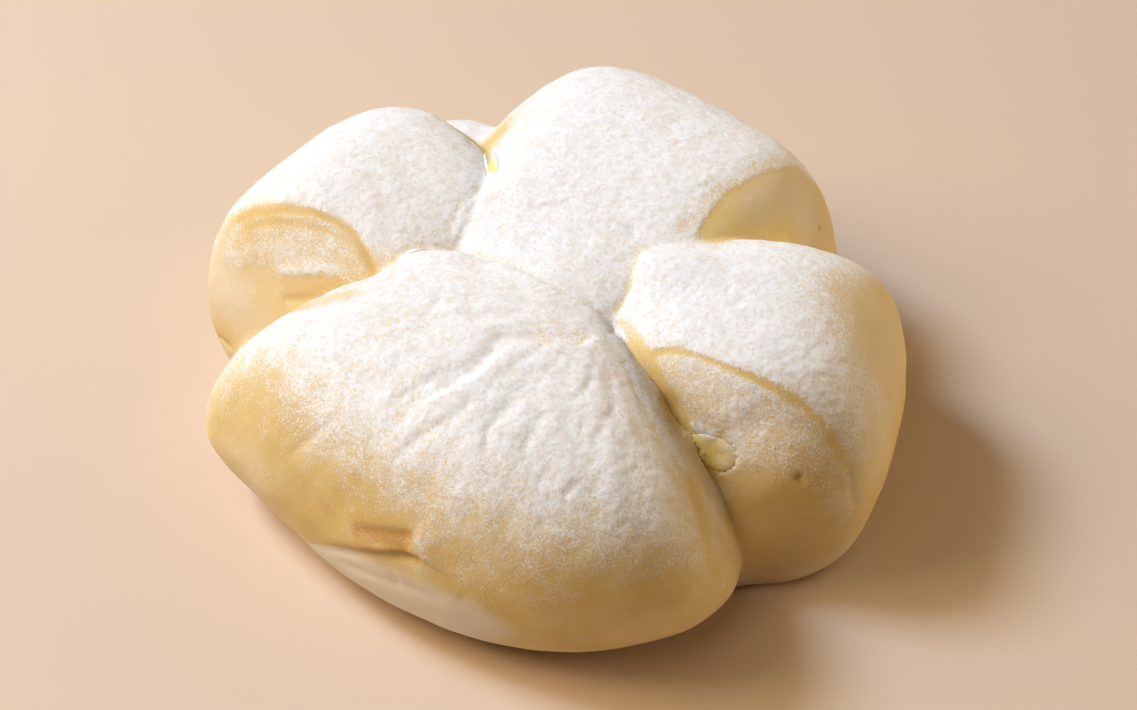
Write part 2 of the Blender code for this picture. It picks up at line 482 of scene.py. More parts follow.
POWDER_AND_SHADE = {
    "front_left_thin": Spot((268, 400), 9, -0.38),
    "front_low_thin": Spot((330, 520), 8, -0.35),
    "front_low_right_thin": Spot((650, 600), 9, -0.25),
    "centre_thick": Spot((560, 235), 9, 0.25),
    "front_middle_thick": Spot((560, 400), 9, 0.12),
    "front_tip_thick": Spot((430, 265), 4, 0.4),
    "front_drift": Spot((623, 447), 2.6, 0.5),
    "right_drift": Spot((778, 349), 2.4, 0.5),
    "right_top_thick": Spot((690, 275), 7, 0.2),
    "right_side_thin": Spot((890, 335), 10, -0.6),
    "right_wall_patch": Spot((703, 428), 1.6, 0.3),
    "right_wall_haze": Spot((740, 420), 7, 0.12),
    "right_top_thin": Spot((850, 300), 9, -0.4),
    "gap_bare": Spot((490, 140), 4.5, -1.0),
    "front_dent_bare": Spot((392, 540), 3.0, -1.0),
    "front_dent_side": Spot((421, 541), 1.6, 0.2),
    # Partly thinner powder, partly painted shade in the hollow above the long crease.
    "front_valley_thin_and_shade": Spot((545, 334), 3.2, -0.38),
    "front_valley_end_thin_and_shade": Spot((578, 340), 2.4, -0.3),
    # Partly thinner powder, partly painted shade: the front fold's upper left is darkened.
    "front_upper_thin_and_shade": Spot((395, 322), 7, -0.3),
    "back_right_thin": Spot((605, 285), 5, -0.15),
    "back_right_side_thin": Spot((610, 240), 5.5, -0.25),
    "right_wall_top": Spot((738, 412), 5, 0.22),
    "right_wall_foot_bare": Spot((770, 540), 6.5, -1.0),
    "custard_drift": Spot((736, 436), 1.6, 0.35),
    "back_right_wall_bare": Spot((718, 240), 3.5, -0.5),
    "gap_custard_bare": Stroke(((485, 148), (488, 157), (492, 166), (497, 177)), 0.7, -1.4),
    "left_ridge": Stroke(LEFT_RIDGE, 0.7, -0.9),
    "left_wall_high": Stroke(((228, 240), *LEFT_WALL_TOP, (364, 262)), 0.9, -0.35),
    "left_wall_streak": Stroke(((270, 266), (292, 271), (321, 269), (350, 270)), 1.0, 0.45),
    "left_wall_band": Stroke(LEFT_WALL_BAND, 1.1, -0.5),
    "left_wall_middle": Stroke(((225, 262), (255, 250), (300, 252), (340, 258)), 2.0, 0.18),
    "right_ridge": Stroke(
        ((640, 361), (656, 354), (674, 351), (691, 354), (709, 360), (727, 367), (749, 376),
         (772, 387), (795, 400)), 0.55, -0.8),
    "right_ridge_wide": Stroke(
        ((735, 369), (760, 381), (790, 396), (808, 409), (822, 423), (833, 440), (842, 460),
         (850, 486)), 0.9, -0.4),
    "right_wall_line": Stroke(((724, 412), (738, 404), (768, 403)), 0.9, 0.4),
    "right_wall_drift": Stroke(((688, 424), (700, 430), (722, 436)), 0.8, 0.45),
    "custard_rim": Stroke(((716, 474), (730, 471), (747, 464)), 0.8, 0.3),
    "right_groove": Stroke(
        ((621, 333), (641, 362), (663, 397), (680, 420), (696, 445), (715, 475)), 1.2, -0.9),
    "front_right_band": Stroke(((648, 388), (668, 418), (684, 447), (700, 478), (712, 505)), 1.3, -0.7),
    "front_right_wall": Stroke(((684, 460), (704, 510), (715, 545), (722, 580)), 3.0, -0.9),
    "back_right_ridge": Stroke(((654, 246), (683, 222), (724, 184), (772, 162), (795, 158)), 1.7, -0.4),
    "back_right_wall_left": Stroke(((704, 247), (716, 230), (730, 212), (748, 198)), 1.5, -0.7),
    "back_right_wall_top": Stroke(((712, 224), (733, 203), (758, 189), (788, 184), (812, 192)), 1.8, -0.8),
    "back_right_wall_ridge": Stroke(
        ((696, 248), (706, 226), (726, 203), (756, 181), (797, 171), (812, 179)), 0.8, -0.7),
    "front_cream_band": Stroke(
        ((222, 372), (238, 348), (262, 328), (297, 309), (340, 297), (375, 290)), 2.0, -1.0),
}
# Toasted crust, with painted shade in the front dent and at the right wall's foot.
TOAST_AND_SHADE = {
    "front_left": Spot((278, 395), 7.5, 0.26),
    "front_left_core": Spot((291, 421), 2.4, 0.29),
    "front_low": Spot((326, 509), 1.8, 0.39),
    "front_high": Spot((252, 352), 5, 0.13),
    "back_gap": Spot((489, 159), 3, 0.6),
    # Painted shade: the right wall's foot near the floor is darkened.
    "right_wall_low_shade": Spot((782, 562), 5.5, 0.5),
    "left_ridge": Stroke(LEFT_RIDGE, 0.6, 0.36),
    "left_wall": Stroke(((240, 233), *LEFT_WALL_TOP), 1.1, 0.23),
    "left_wall_end": Stroke(((358, 250), (368, 266), (378, 284)), 1.6, 0.26),
    "left_wall_band": Stroke(LEFT_WALL_BAND, 1.0, 0.13),
    "right_groove": Stroke(
        ((628, 338), (643, 364), (656, 382), (668, 398), (690, 413), (704, 418)), 1.3, 0.16),
    "right_ridge": Stroke(
        ((640, 361), (656, 354), (691, 354), (727, 367), (771, 386), (808, 408), (831, 435)), 1.0, 0.16),
    "back_right_ridge": Stroke(((680, 250), (694, 225), (726, 192), (768, 168), (798, 166)), 1.8, 0.20),
    # The front dent is toasted and also painted darker for its shade. Its lit side wall gets painted
    # shade, and the line under its lip is a painted shadow.
    "front_dent": Stroke(((345, 527), (372, 531), (396, 537), (424, 545)), 2.0, 1.0),
    "front_dent_wall_shade": Stroke(((406, 562), (407, 546), (409, 536), (411, 522)), 0.8, 0.5),
    "front_dent_edge_shadow": Stroke(((330, 545), (376, 548), (419, 553)), 0.8, 0.5),
}
BACK_GAP_PALE = Spot((470, 130), 6, 1.0)
PALE_AND_LIGHT_SPOTS = {
    "left_wall_left": Spot((222, 285), 7, 0.45),
    "left_wall_foot": Spot((250, 320), 7, 0.4),
    "left_wall_middle": Spot((290, 260), 6, 0.35),
    "back_right_wall": Spot((800, 215), 8, 0.75),
    "back_right_wall_middle": Spot((760, 212), 5, 0.3),
    # Painted light: the front fold's lower left is made paler.
    "front_left_low_painted_light": Spot((250, 480), 7, 0.3),
    "right_side_high": Spot((885, 330), 9, 0.4),
    "right_side": Spot((880, 420), 9, 0.3),
    "right_foot": Spot((780, 575), 7, 0.35),
}
# The front fold's right band: partly its own pale cream, partly painted light where its slope stays dark.
FRONT_RIGHT_PALE_AND_LIGHT = Stroke(((668, 418), (690, 455), (706, 495), (716, 535), (722, 580)), 2.4, 0.5)
PALE_EDGE = ((232, 356), (259, 330), (272, 317), (285, 309), (304, 304), (340, 298), (385, 289))
HEEL_EDGE = ((290, 540), (341, 548), (376, 550), (412, 554), (423, 567), (449, 583), (482, 608),
             (511, 626), (540, 638))

CURVE_PARTS = 8  # points on a curve for each pixel that it is given by
DEEP_IN_GAP = -0.1  # a cast point with less than this in the whole field fell into a gap
FALL_ROUNDS = 20
FALL_SHARE = 0.8  # of its depth that such a point is brought back in a round
PATH_SMOOTHING = 3  # points to each side that a path's direction is averaged over
FACING = (0.1, 0.6)  # cosines between which a stroke fades where the surface turns away
REACH_IN_WIDTHS = 3  # as far as a stroke or a step is felt
STROKE_FADING = 0.2  # share of its length that a stroke fades over at each end
STEP_FOOT = 0.8  # half the width of a step's foot, mm
FOOT_REACH = 4  # in such widths
FOOT_FADING = 0.1


def camera_axes():
    """The camera's right, up and back directions."""
    back = Vector((0, -cos(radians(CAMERA_ELEVATION)), sin(radians(CAMERA_ELEVATION))))
    right = Vector((1, 0, 0))
    return right, back.cross(right), back


def cast(pixels, tree):
    """The points of the bread that these pixels of the photograph show."""
    right, up, back = camera_axes()
    eye = CAMERA_AIM + back * CAMERA_DISTANCE
    focal = PHOTO_SIZE[0] * CAMERA_LENS / CAMERA_SENSOR
    found, rays = [], []
    for x, y in pixels:
        across = (x - PHOTO_SIZE[0] / 2) / focal
        upward = (PHOTO_SIZE[1] / 2 - y) / focal
        ray = (right * across + up * upward - back).normalized()
        hit = tree.ray_cast(eye, ray)[0]
        if hit is not None:
            found.append(tuple(hit))
            rays.append(tuple(ray))
    return out_of_gaps(np.array(found), np.array(rays))


def out_of_gaps(points, rays):
    """The points that fell into the custard's gaps, brought back along their rays."""
    for _ in range(FALL_ROUNDS):
        depth = whole_field(points) if len(points) else np.zeros(0)
        if (depth > DEEP_IN_GAP).all():
            break
        points = points + rays * np.where(depth > DEEP_IN_GAP, 0, FALL_SHARE * depth)[:, None]
    return points


def curved(pixels):
    """More points on a smooth curve through these ones."""
    first = 2 * np.array(pixels[0]) - pixels[1]
    last = 2 * np.array(pixels[-1]) - pixels[-2]
    ends = [first, *map(np.array, pixels), last]
    out = []
    for a, b, c, d in zip(ends, ends[1:], ends[2:], ends[3:]):
        for t in np.arange(CURVE_PARTS) / CURVE_PARTS:
            bend = 2 * a - 5 * b + 4 * c - d + t * (3 * (b - c) + d - a)
            out.append(b + 0.5 * t * (c - a + t * bend))
    return [*out, ends[-2]]


def ramp(values, low, high):
    """0 below low, 1 above high, smooth between."""
    t = np.clip((values - low) / (high - low), 0, 1)
    return t * t * (3 - 2 * t)


def bell(distance, width):
    """1 at no distance, falling away over this width."""
    return np.exp(-((distance / width) ** 2))


def fade(along, share):
    """1 in the middle of a stroke, down to 0 at its ends."""
    return ramp(np.minimum(along, 1 - along), 0, share)


class Surface(NamedTuple):
    """The bread's even surface, which the marks are placed on."""

    points: np.ndarray
    normals: np.ndarray
    tree: BVHTree


class Line(NamedTuple):
    """Where points lie along a stroke."""

    near: np.ndarray  # which points are near it
    distance: np.ndarray  # mm, positive on the left of the way it runs
    along: np.ndarray  # 0 at its start, 1 at its end
    facing: np.ndarray  # 1 where the surface faces as it does at the stroke, 0 where it turns away


def line_on(bread, pixels, reach):
    """How the bread's points lie along the curve through these pixels, up to reach mm away."""
    path = cast(curved(pixels), bread.tree)
    slopes = slope(whole_field, path)
    around = [slice(max(0, i - PATH_SMOOTHING), i + PATH_SMOOTHING + 1) for i in range(len(path))]
    path_normals = np.array([slopes[part].mean(0) for part in around])
    path_normals /= lengths(path_normals)
    low, high = path.min(0) - reach, path.max(0) + reach
    near = np.flatnonzero(((bread.points > low) & (bread.points < high)).all(1))
    points, normals = bread.points[near], bread.normals[near]
    distance = np.full(len(near), np.inf)
    along = np.zeros(len(near))
    agreement = np.zeros(len(near))
    count = len(path) - 1
    for i, (start, end) in enumerate(zip(path, path[1:])):
        run = end - start
        t = np.clip((points - start) @ run / max(run @ run, TINY), 0, 1)
        offset = points - start - t[:, None] * run
        away = np.linalg.norm(offset, axis=1)
        closer = away < np.abs(distance)
        side = np.sign((np.cross(run, offset) * normals).sum(1))
        distance[closer] = (away * np.where(side == 0, 1, side))[closer]
        along[closer] = ((i + t) / count)[closer]
        agreement[closer] = (normals @ path_normals[i])[closer]
    return Line(near, distance, along, ramp(agreement, *FACING))


def spread_out(bread, line, values):
    """These values at the points near the line, and 0 at all others."""
    out = np.zeros(len(bread.points))
    out[line.near] = values
    return out


def stroke_relief(bread, stroke):
    line = line_on(bread, stroke.pixels, REACH_IN_WIDTHS * stroke.width)
    amount = bell(line.distance, stroke.width) * fade(line.along, STROKE_FADING) * line.facing
    return spread_out(bread, line, stroke.height * amount)


def step_relief(bread, step):
    line = line_on(bread, step.pixels, REACH_IN_WIDTHS * step.run)
    rise = ramp(line.distance, -step.softness, step.softness)
    amount = rise * bell(line.distance, step.run) * fade(line.along, step.fading) * line.facing
    return spread_out(bread, line, step.height * amount)


def step_foot_bare_and_shade(bread, step):
    """How much powder the step's foot lacks; the bared foot is partly painted shade."""
    line = line_on(bread, step.pixels, FOOT_REACH * STEP_FOOT)
    away = line.distance * np.sign(step.height) + step.softness + 0.5 * STEP_FOOT
    amount = bell(away, STEP_FOOT) * fade(line.along, FOOT_FADING)
    return spread_out(bread, line, step.foot_bare_and_shade * amount)


def spot_relief(bread, spot):
    centre = cast([spot.pixel], bread.tree)
    if not len(centre):
        return np.zeros(len(bread.points))
    return spot.amount * bell(np.linalg.norm(bread.points - centre, axis=1), spot.radius)


def marks(bread, table):
    """What these marks add up to at each point."""
    reliefs = {Stroke: stroke_relief, Step: step_relief, Spot: spot_relief}
    return sum(reliefs[type(mark)](bread, mark) for mark in table.values())


# Unevenness ------------
class Lumps(NamedTuple):
    """Smooth noise of about -amount to amount."""

    amount: float
    size: float  # mm
    seed: int


POWDER_THICKNESS = (Lumps(0.05, 5.0, 11), Lumps(0.06, 1.6, 12))
DOUGH_UNEVEN = (Lumps(0.12, 11, 1), Lumps(0.05, 4, 2))
POWDER_LUMPS = (Lumps(0.05, 2.2, 3), Lumps(0.04, 1.0, 4))
WAVE_COUNT = 48
WAVE_PITCHES = (0.6, 1.5)  # the finest and coarsest waves, against the lumps' size


def waves(points, size, seed):
    """Smooth noise of about -1 to 1, in lumps of about this size in mm."""
    rng = np.random.default_rng(seed)
    directions = rng.normal(size=(WAVE_COUNT, 3))
    directions /= lengths(directions)
    pitches = rng.uniform(*WAVE_PITCHES, WAVE_COUNT) * np.pi / size
    phases = rng.uniform(0, 2 * np.pi, WAVE_COUNT)
    total = np.zeros(len(points))
    for direction, pitch, phase in zip(directions, pitches, phases):
        total += np.sin(points @ direction * pitch + phase)
    return total / np.sqrt(WAVE_COUNT)


def unevenness(points, table):
    return sum(lumps.amount * waves(points, lumps.size, lumps.seed) for lumps in table)


# The bread ------------
OWN_LEAD = (-1.0, -0.2)  # of a fold over the others, from where a point begins to be its own
OWN_DEPTH = (-2.5, -1.0)  # and how deep in the fold the point is
WALL_TURN = (-0.4, 1.6)  # how far inside the dome a wall cuts, where the wall begins

WRINKLES_FROM = (7, -12)  # where the front fold's wrinkles spread from
WRINKLE_WIDTH = 2.0
WRINKLE_FAN = 26  # how far from there they have this width
WRINKLE_STRETCH = 0.22  # they are long the other way
WRINKLES_BEGIN, WRINKLES_END = (6, 14), (30, 44)
WRINKLES_HEIGHT = (20, 30)
WRINKLE_SEED = 21
WRINKLE_DEPTH = 0.08
WRINKLE_POWDER = 0.10  # how much more powder lies on the wrinkles' tops

STEEP, SIFTING = 0.05, 1.15  # powder lies where the surface looks up more than this, to this power
WALL_LACKS = {  # share of the powder that each wall lacks, beyond what its slope says
    ("back_left", 0): 0.25,
    ("back_left", 1): 0.95,
    ("back_right", 0): 0.97,
    ("right", 0): 0.35,
}
RIGHT_WALL_DUST = 0.10
MOST_POWDER = 1.2
POWDER_FOOT = (5, 12)  # height over which the powder begins
POWDER_DEPTH = 0.15  # of a full coat
RELIEF_FOOT = (0.5, 4)
SHOWN_DEPTH = (-2.0, -0.5)  # the custard's relief fades out below the dough's surface

HEEL_REACH = (13, 16)  # below its edge
HEEL_HEIGHT = (14, 18)
HEEL_SOFTNESS = (0.3, 2.0)  # of its edge at the left, and how much softer farther right
HEEL_SOFTENS, HEEL_ENDS = (0.45, 0.65), (0.75, 0.99)  # shares of its length
PALE_FOOT, PALE_FOOT_SHARE = (3, 9), 0.6
PALE_BAND_REACH, PALE_BAND_WIDTH, PALE_BAND_SHARE = 12, 2.6, 0.5
TINT_REACH = 2.2  # how far the custard stains the dough
TINT_FAINTEST = 9  # in such reaches
TINT_HEIGHT = (14, 18)


def surface_of(obj, points):
    faces = [tuple(face.vertices) for face in obj.data.polygons]
    tree = BVHTree.FromPolygons([tuple(p) for p in points], faces)
    return Surface(points, normals_of(dough_field, points), tree)


def shares_of_folds(points):
    """For each fold, 1 on its own surface; and for each of its walls, 1 on the wall."""
    fields = {name: fold_field(fold, points) for name, fold in FOLDS.items()}
    nearest = np.min(list(fields.values()), axis=0)
    shares = {}
    for name, fold in FOLDS.items():
        own = ramp(nearest - fields[name], *OWN_LEAD) * ramp(-fields[name], *OWN_DEPTH)
        _, (dome, *walls) = fold_reaches(fold, points)
        shares[name] = own
        for number, wall in enumerate(walls):
            shares[name, number] = own * ramp(dome - wall, *WALL_TURN)
    return shares


def skin_wrinkles(points, shares):
    """Long soft wrinkles that spread over the front fold from the middle of the bread."""
    away = points[:, :2] - np.array(WRINKLES_FROM)
    reach = np.linalg.norm(away, axis=1)
    turn = np.arctan2(-away[:, 1], -away[:, 0])
    spread = (turn * WRINKLE_FAN, reach * WRINKLE_STRETCH, np.zeros(len(points)))
    amount = shares["front"] * ramp(reach, *WRINKLES_BEGIN) * (1 - ramp(reach, *WRINKLES_END))
    amount = amount * ramp(points[:, 2], *WRINKLES_HEIGHT)
    return waves(np.stack(spread, axis=1), WRINKLE_WIDTH, WRINKLE_SEED) * amount


def powder_cover(bread, shares, wrinkles):
    """How much powder lies on each point: it was sifted on from above. In a few hollows and at the feet of
    steps it is thinned as painted shade.
    """
    cover = np.clip((bread.normals[:, 2] - STEEP) / (1 - STEEP), 0, 1) ** SIFTING
    for wall, lack in WALL_LACKS.items():
        cover *= 1 - lack * shares[wall]
    cover += RIGHT_WALL_DUST * shares["right", 0]
    cover += marks(bread, POWDER_AND_SHADE)
    for step in STEPS.values():
        cover -= step_foot_bare_and_shade(bread, step)
    cover += WRINKLE_POWDER * wrinkles + unevenness(bread.points, POWDER_THICKNESS)
    above = ramp(bread.points[:, 2], *POWDER_FOOT)
    return np.clip(cover, 0, MOST_POWDER) * above * (1 - heel_share(bread))


def dough_relief(bread, powder, wrinkles):
    """The dough's own unevenness, and the soft lumps of the powder on it."""
    own = unevenness(bread.points, DOUGH_UNEVEN) + WRINKLE_DEPTH * wrinkles
    coat = np.clip(powder, 0, 1) * (POWDER_DEPTH + unevenness(bread.points, POWDER_LUMPS))
    return ramp(bread.points[:, 2], *RELIEF_FOOT) * (own + coat)


def heel_share(bread):
    """1 on the pale dough below the crease along the bread's front."""
    line = line_on(bread, HEEL_EDGE, HEEL_REACH[1])
    crisp, more = HEEL_SOFTNESS
    softness = crisp + more * ramp(line.along, *HEEL_SOFTENS)
    below = ramp(-line.distance, -softness, softness) * (1 - ramp(line.along, *HEEL_ENDS))
    share = spread_out(bread, line, below * (1 - ramp(np.abs(line.distance), *HEEL_REACH)))
    return share * (1 - ramp(bread.points[:, 2], *HEEL_HEIGHT))


def pale_and_light_share(bread, shares):
    """Where the dough stayed pale: low down, in the seams and at the back gap; and painted light on the
    front fold's lower left and right band.
    """
    line = line_on(bread, PALE_EDGE, PALE_BAND_REACH)
    band = spread_out(bread, line, bell(line.distance, PALE_BAND_WIDTH)) * shares["front"]
    pale_and_light = (
        PALE_FOOT_SHARE * (1 - ramp(bread.points[:, 2], *PALE_FOOT)),
        spot_relief(bread, BACK_GAP_PALE),
        heel_share(bread),
        marks(bread, PALE_AND_LIGHT_SPOTS),
        stroke_relief(bread, FRONT_RIGHT_PALE_AND_LIGHT),
        PALE_BAND_SHARE * band,
    )
    return np.clip(np.max(pale_and_light, axis=0), 0, 1)


def tint_share(bread):
    """Where custard shows through or has stained the dough: round the places where it shows."""
    away = np.clip(custard_field(bread.points) / TINT_REACH, 0, TINT_FAINTEST)
    return np.exp(-away) * ramp(bread.points[:, 2], *TINT_HEIGHT)


def dress(obj, bread, depth_share=1.0):
    """Give the mesh its relief, its powder, and its toast with painted shade; returns the folds' shares
    and powder.
    """
    shares = shares_of_folds(bread.points)
    wrinkles = skin_wrinkles(bread.points, shares)
    powder = powder_cover(bread, shares, wrinkles)
    height = marks(bread, STEPS) + marks(bread, GROOVES) + dough_relief(bread, powder, wrinkles)
    height *= depth_share
    set_points(obj.data, bread.points + bread.normals * height[:, None])
    store(obj.data, "powder", powder)
    store(obj.data, "toast_and_shade", np.clip(marks(bread, TOAST_AND_SHADE), 0, 1))
    return shares, powder


def make_bread():
    obj = fine_copy("bread_dough", "milk_bread", DOUGH_VOXEL)
    points = points_of(obj.data)
    inside = (whole_field(points) < -HIDDEN_DEPTH) & (custard_field(points) < HIDDEN_DEPTH)
    thin_out(obj, (points[:, 2] < UNDERSIDE_HEIGHT) | inside)
    points = settled(dough_field, drawn_in(points_of(obj.data)))
    bread = surface_of(obj, points)
    shares, powder = dress(obj, bread)
    store(obj.data, "pale_and_light", pale_and_light_share(bread, shares))
    store(obj.data, "tint", tint_share(bread))
    obj.data.materials.append(crust_material())
    return obj, bread, powder


def make_custard(tree):
    """The custard, with the same relief and powder as the dough round the places where it shows."""
    obj = fine_copy("custard_filling", "custard_fill", CUSTARD_VOXEL)
    points = settled(shown_custard_field, points_of(obj.data), CUSTARD_ROUNDS)
    shown = Surface(points, normals_of(whole_field, points), tree)
    dress(obj, shown, ramp(whole_field(points), *SHOWN_DEPTH))
    store(obj.data, "rim", 1 - ramp(-custard_field(points), *CUSTARD_RIM))
    obj.data.materials.append(custard_material())
    return obj


# Powder grains ------------
class Grains(NamedTuple):
    """One size of powder grain."""

    count: int
    radius: tuple  # smallest and largest, mm
    seed: int


GRAINS = {
    "powder_fine": Grains(24900, (0.06, 0.09), 5),
    "powder_grains": Grains(24900, (0.08, 0.12), 7),
    "powder_clumps": Grains(9000, (0.12, 0.18), 6),
}
GRAIN_SINK = 0.3  # share of its radius that a grain's middle is sunk
GRAIN_FLATNESS = 0.65
GRAIN_ROUGHNESS = (0.7, 1.3)  # its corners' distances from its middle, in radii
THIN_POWER, THICK_LIMIT = 0.7, 1.03  # the thinnest and the thickest powder shows few grains
GRAIN_CORNERS = ((1, 0, 0), (-1, 0, 0), (0, 1, 0), (0, -1, 0), (0, 0, 1), (0, 0, -1))
GRAIN_SIDES = (
    (4, 0, 2), (4, 2, 1), (4, 1, 3), (4, 3, 0), (5, 2, 0), (5, 1, 2), (5, 3, 1), (5, 0, 3),
)


def crossed_sides(points, faces):
    """For each triangle, the cross product of two sides: its normal, twice its area long."""
    corners = points[faces]
    return np.cross(corners[:, 1] - corners[:, 0], corners[:, 2] - corners[:, 0])


def make_grains(name, grains, obj, powder):
    """Small rough grains on the bread's surface, more of them where the powder is thicker."""
    rng = np.random.default_rng(grains.seed)
    points = points_of(obj.data)
    obj.data.calc_loop_triangles()
    faces = np.array([tuple(t.vertices) for t in obj.data.loop_triangles])
    cover = np.clip(powder[faces].mean(1), 0, 1)
    area = np.linalg.norm(crossed_sides(points, faces), axis=1) / 2
    weight = area * cover**THIN_POWER * (THICK_LIMIT - cover)
    chosen = faces[rng.choice(len(faces), grains.count, p=weight / weight.sum())]
    mix = rng.dirichlet((1, 1, 1), grains.count)
    middles = (points[chosen] * mix[:, :, None]).sum(1)
    normals = crossed_sides(points, chosen)
    normals /= lengths(normals)
    radii = rng.uniform(*grains.radius, grains.count)
    middles -= normals * (radii * GRAIN_SINK)[:, None]
    corners = np.array(GRAIN_CORNERS, float)
    roughness = rng.uniform(*GRAIN_ROUGHNESS, (grains.count, len(corners), 1))
    turns, _ = np.linalg.qr(rng.normal(size=(grains.count, 3, 3)))
    turns *= np.sign(np.linalg.det(turns))[:, None, None]
    local = np.einsum("nij,vj->nvi", turns, corners) * roughness * radii[:, None, None]
    upward = (local * normals[:, None, :]).sum(2, keepdims=True)
    local -= normals[:, None, :] * upward * (1 - GRAIN_FLATNESS)
    vertices = (middles[:, None, :] + local).reshape(-1, 3) * MM
    firsts = len(corners) * np.arange(grains.count)[:, None, None]
    mesh = bpy.data.meshes.new(name)
    mesh.from_pydata(vertices.tolist(), [], (np.array(GRAIN_SIDES) + firsts).reshape(-1, 3).tolist())
    mesh.shade_smooth()
    return new_object(name, mesh)


# Materials ------------
CRUST_GOLD = (0.77, 0.575, 0.25)
CRUST_DEEP = (0.72, 0.50, 0.17)
CRUST_PALE_AND_LIGHT = (0.82, 0.73, 0.60)
# Toasted crust, dark enough to also paint the shade in the front dent.
CRUST_TOAST_AND_SHADE = (0.58, 0.32, 0.09)
CUSTARD_DEEP = (0.92, 0.74, 0.20)
CUSTARD_LIGHT = (0.94, 0.80, 0.32)
CUSTARD_STAIN = (0.85, 0.65, 0.24)
POWDER_WHITE = (0.86, 0.85, 0.845)
# A cream that also paints the shade in the powder's hollows and fine grain.
POWDER_CREAM_AND_SHADE = (0.79, 0.735, 0.68)
FLOOR_COLOUR = (0.69, 0.53, 0.39)
ROUGHNESS = {"crust": 0.8, "powder": 0.95, "custard": 0.5, "floor": 0.6}
CRUST_GLOSS, POWDER_GLOSS = 0.25, 0.2
CRUST_DEPTH = (0.15, (1.0, 0.55, 0.3), 1.2)  # of light: its share, its reach by colour, mm
CUSTARD_DEPTH = (0.2, (1.0, 0.7, 0.2), 1.5)
NOISE_SCALE = 0.6  # lumps of noise in its own unit
CRUST_PATCHES = 7  # mm across
CUSTARD_PATCHES = 2.0
MILD, BROAD = (0.35, 0.65), (0.3, 0.7)  # of a noise, from its low colour to its high one
HAZE = 0.6  # how much the finest powder pales the crust between the grains
HAZE_FROM = (-0.1, 1.0)  # amounts of powder, from none to all of the haze
CLUMP_SIZE, CLUMP_CREAM_AND_SHADE = 1.4, (0.2, 0.55)  # clumps in thick powder, cream and painted shade in their hollows
CLUMP_SWING = 0.5  # how much more powder the clumps have
SPECKLE_SIZES = (0.5, 0.33)  # mm between the powder's speckles
SPECKLE_GROWTH, SPECKLE_LEAST = 0.62, 0.1  # a speckle's radius, as a share of that
SPECKLE_EDGE = 0.16
GRIT_SIZE, GRIT_CREAM_AND_SHADE = 0.42, (0.3, 0.55)  # the faint grain in thick powder, partly painted shade between its lumps
GRAIN_PATCHES = 1.2  # mm
DUSTED_ROUGHNESS = (0.6, 0.95)  # from bare to powdered
LUMP_DEPTH = 0.2  # mm
LUMP_NOISE = (0.8, 3.0, 0.65)  # size in mm, detail and roughness
LUMPS_FROM = (0.0, 0.7, 0.3, 1.0)  # amounts of powder, and the lumps' depth at them
SPECKLE_HEIGHT = 0.1  # against the lumps


def plain_material(name, colour, roughness):
    new = bpy.data.materials.new(name)
    new.use_nodes = True
    shader = new.node_tree.nodes["Principled BSDF"]
    shader.inputs["Base Color"].default_value = (*colour, 1)
    shader.inputs["Roughness"].default_value = roughness
    return new


MIX_SHARE, MIX_A, MIX_B, MIX_RESULT = 0, 6, 7, 2  # a Mix node's sockets, for colours


class Nodes:
    """A material's or a world's node tree, with short names for the nodes that it needs."""

    def __init__(self, owner, shader="Principled BSDF"):
        self.tree = owner.node_tree
        self.shader = self.tree.nodes[shader]

    def link(self, value, socket):
        if isinstance(value, bpy.types.NodeSocket):
            self.tree.links.new(value, socket)
        else:
            socket.default_value = value

    def new(self, kind, output, inputs, **settings):
        """One output of a new node, with these settings and inputs."""
        node = self.tree.nodes.new(f"ShaderNode{kind}")
        for name, value in settings.items():
            setattr(node, name, value)
        for name, value in inputs.items():
            self.link(value, node.inputs[name])
        return node.outputs[output]

    def attribute(self, name):
        return self.new("Attribute", "Fac", {}, attribute_name=name)

    def position(self, kind="Object"):
        return self.new("TexCoord", kind, {})

    def noise(self, size, detail=2.0, roughness=0.5):
        """Noise in lumps of about this size in mm."""
        inputs = {"Scale": NOISE_SCALE / (size * MM), "Detail": detail, "Roughness": roughness}
        return self.new("TexNoise", "Fac", {**inputs, "Vector": self.position()})

    def dots(self, size):
        """Distance from the nearest of many points about this many mm apart, as a share of it."""
        inputs = {"Scale": 1 / (size * MM), "Vector": self.position()}
        return self.new("TexVoronoi", "Distance", inputs)

    def math(self, operation, *inputs):
        return self.new("Math", 0, dict(enumerate(inputs)), operation=operation)

    def ramp(self, value, low, high, to_low=0.0, to_high=1.0):
        inputs = {"Value": value, "From Min": low, "From Max": high, "To Min": to_low, "To Max": to_high}
        return self.new("MapRange", "Result", inputs, interpolation_type="SMOOTHSTEP")

    def mix(self, share, a, b):
        """Colour a where share is 0 and b where it is 1."""
        a, b = ((*end, 1) if isinstance(end, tuple) else end for end in (a, b))
        return self.new("Mix", MIX_RESULT, {MIX_SHARE: share, MIX_A: a, MIX_B: b}, data_type="RGBA")

    def bump(self, height, depth):
        """Relief of this depth in mm."""
        return self.new("Bump", "Normal", {"Strength": 1.0, "Distance": depth * MM, "Height": height})

    def subsurface(self, weight, radius, scale):
        """Light that runs under the surface, this many mm in red, green and blue."""
        self.shader.inputs["Subsurface Weight"].default_value = weight
        self.shader.inputs["Subsurface Radius"].default_value = radius
        self.shader.inputs["Subsurface Scale"].default_value = scale * MM


def speckles(nodes, level):
    """Round speckles of powder, which grow and join as the level rises."""
    cover = 0.0
    for size in SPECKLE_SIZES:
        reach = nodes.math("MULTIPLY_ADD", level, SPECKLE_GROWTH, SPECKLE_LEAST)
        inside = nodes.math("SUBTRACT", reach, nodes.dots(size))
        cover = nodes.math("MAXIMUM", cover, nodes.ramp(inside, -SPECKLE_EDGE, SPECKLE_EDGE))
    return cover


